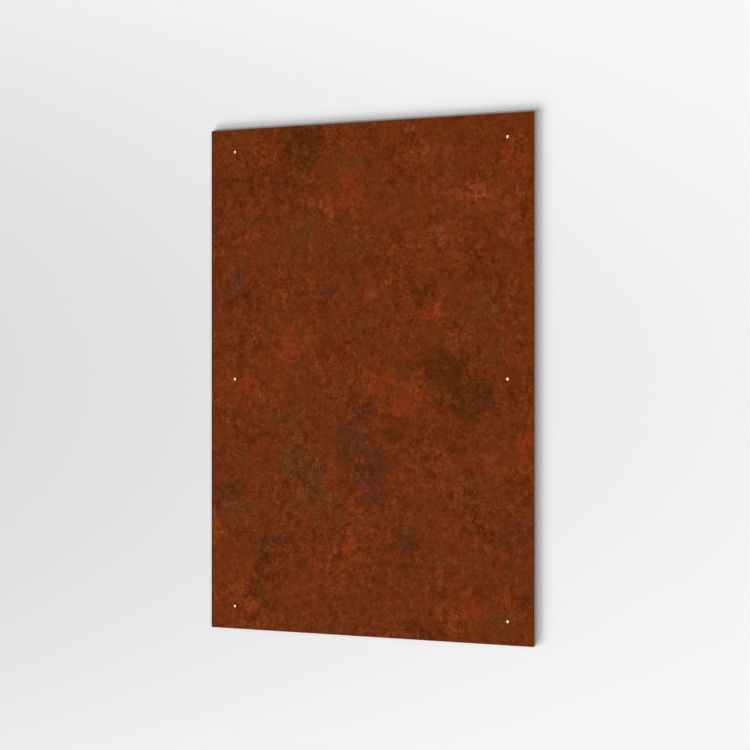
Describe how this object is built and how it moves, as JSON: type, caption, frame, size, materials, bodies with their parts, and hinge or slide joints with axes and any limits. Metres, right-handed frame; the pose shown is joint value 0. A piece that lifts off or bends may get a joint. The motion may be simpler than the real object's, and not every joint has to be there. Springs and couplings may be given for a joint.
{
  "type": "steel plate",
  "caption": "Flat rectangular steel plate with an evenly rusted, mottled brown face and small fixing holes near its long edges.",
  "frame": {"origin": "centre of the plate's underside, the plate lying flat", "axes": "+X across the width, +Y along the length, +Z out of the upper, visible face"},
  "size_m": [0.6, 0.9, 0.003],
  "materials": {
    "rusted_steel": "matte"
  },
  "bodies": {
    "root": {"steel_plate": "rusted_steel"}
  },
  "joints": []
}
